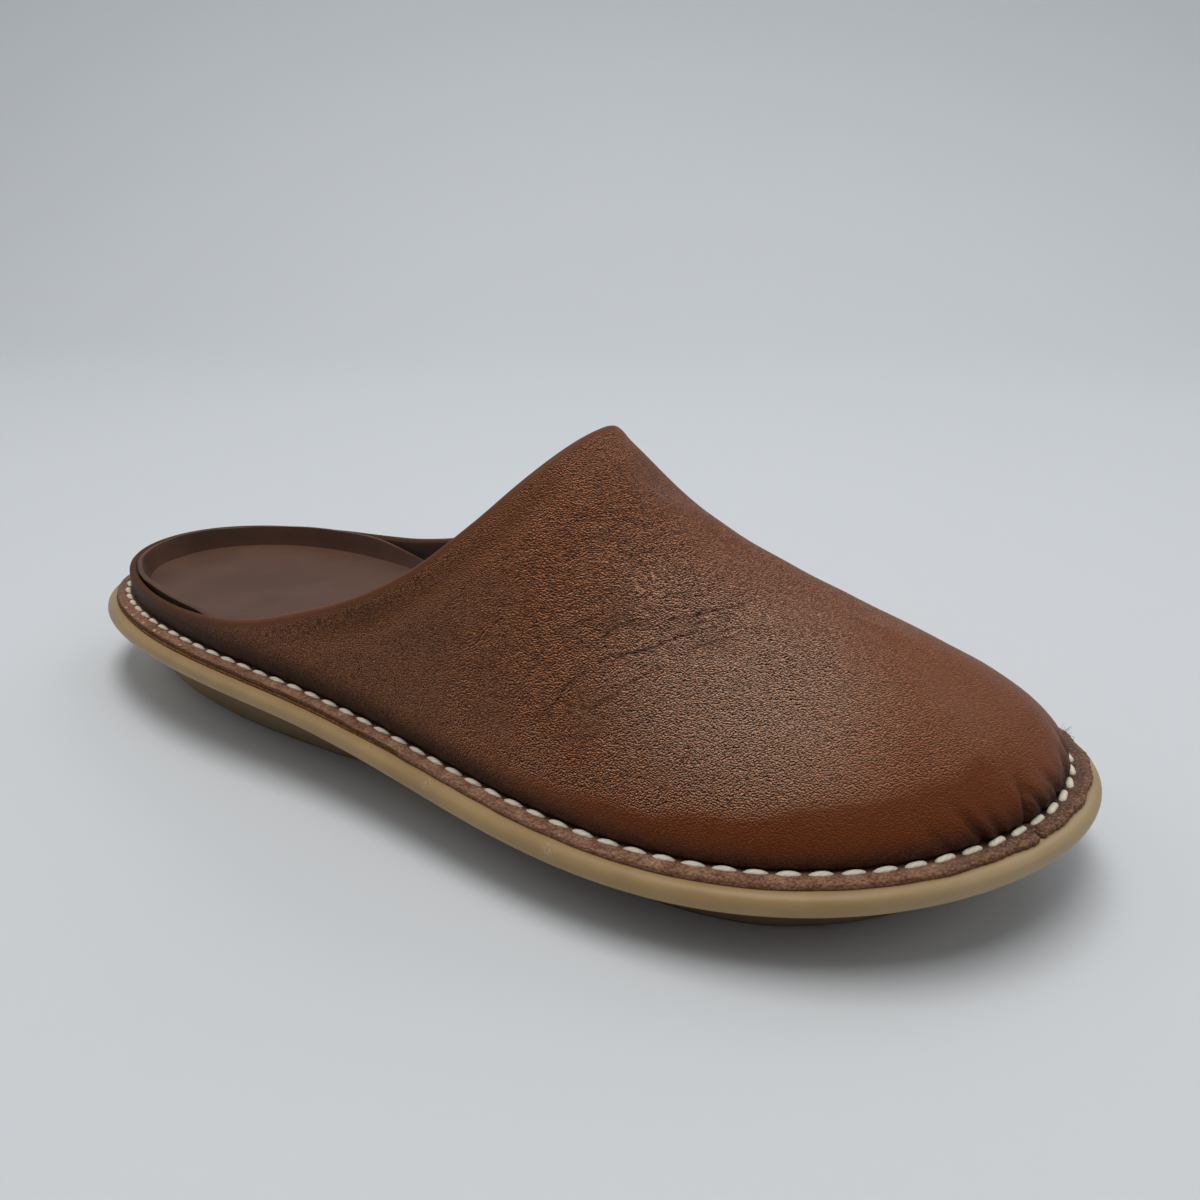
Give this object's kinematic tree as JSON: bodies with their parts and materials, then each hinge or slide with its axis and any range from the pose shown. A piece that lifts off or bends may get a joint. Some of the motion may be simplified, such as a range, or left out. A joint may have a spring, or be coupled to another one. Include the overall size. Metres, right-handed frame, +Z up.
{
  "type": "leather clog",
  "caption": "Backless leather clog for the right foot: hollow vamp with a low rim round the heel, its edge turned out and stitched down over a rubber sole with a rounded lip.",
  "frame": {"origin": "on the ground, under the middle of the sole's bounding box", "axes": "+X from heel to toe, +Y towards the inner (medial) side of the foot, +Z up"},
  "size_m": [0.28, 0.1088, 0.0845],
  "materials": {
    "rubber": "satin tan moulded rubber",
    "leather": "smooth brown grain leather, darker and redder near the seam",
    "board": "cut leather board edge",
    "sock_leather": "plain brown lining leather",
    "thread": null
  },
  "bodies": {
    "root": {"outsole": "rubber", "midsole_board": "board", "insole": "sock_leather", "upper": "leather"}
  },
  "joints": []
}
